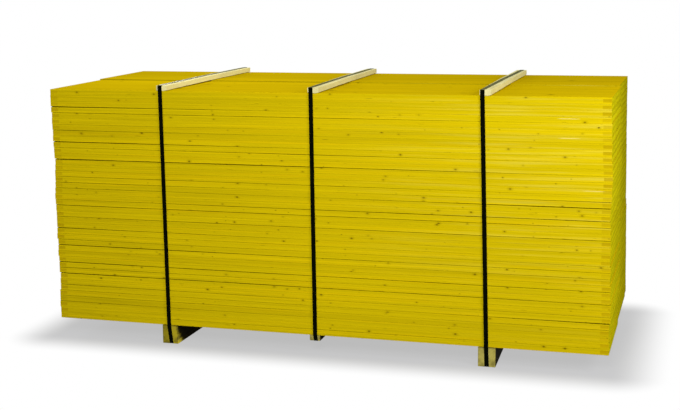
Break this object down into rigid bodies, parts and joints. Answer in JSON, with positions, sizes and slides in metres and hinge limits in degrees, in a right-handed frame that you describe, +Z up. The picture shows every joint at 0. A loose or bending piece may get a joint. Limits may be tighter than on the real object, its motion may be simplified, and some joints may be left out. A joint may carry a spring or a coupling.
{
  "type": "strapped stack of plywood panels",
  "caption": "Stack of yellow coated plywood formwork panels laid in columns, strapped over top battens and standing on bearers.",
  "frame": {"origin": "middle of the footprint of the whole package, on the floor", "axes": "+X along the panels' length to the right as seen from the front, +Y from the front to the rear, +Z up"},
  "size_m": [2.516, 1.013, 1.1779],
  "materials": {
    "coated_panel": "yellow resin-coated softwood, satin, grain and knots showing through",
    "batten_wood": "pale sawn softwood",
    "bearer_wood": "rough sawn softwood, weathered olive",
    "strap": "black embossed plastic strapping, slight sheen"
  },
  "bodies": {
    "root": {"panel_layer_01": "coated_panel", "panel_layer_02": "coated_panel", "panel_layer_03": "coated_panel", "panel_layer_04": "coated_panel", "panel_layer_05": "coated_panel", "panel_layer_06": "coated_panel", "panel_layer_07": "coated_panel", "panel_layer_08": "coated_panel", "panel_layer_09": "coated_panel", "panel_layer_10": "coated_panel", "panel_layer_11": "coated_panel", "panel_layer_12": "coated_panel", "panel_layer_13": "coated_panel", "panel_layer_14": "coated_panel", "panel_layer_15": "coated_panel", "panel_layer_16": "coated_panel", "panel_layer_17": "coated_panel", "panel_layer_18": "coated_panel", "panel_layer_19": "coated_panel", "panel_layer_20": "coated_panel", "panel_layer_21": "coated_panel", "panel_layer_22": "coated_panel", "panel_layer_23": "coated_panel", "panel_layer_24": "coated_panel", "panel_layer_25": "coated_panel", "panel_layer_26": "coated_panel", "panel_layer_27": "coated_panel", "panel_layer_28": "coated_panel", "panel_layer_29": "coated_panel", "panel_layer_30": "coated_panel", "panel_layer_31": "coated_panel", "panel_layer_32": "coated_panel", "panel_layer_33": "coated_panel", "panel_layer_34": "coated_panel", "panel_layer_35": "coated_panel", "panel_layer_36": "coated_panel", "panel_layer_37": "coated_panel", "panel_layer_38": "coated_panel", "panel_layer_39": "coated_panel", "panel_layer_40": "coated_panel", "top_batten_left": "batten_wood", "top_batten_middle": "batten_wood", "top_batten_right": "batten_wood", "bottom_lath": "bearer_wood", "bearer_left": "bearer_wood", "bearer_right": "bearer_wood", "strap_left": "strap", "strap_middle": "strap", "strap_right": "strap"}
  },
  "joints": []
}
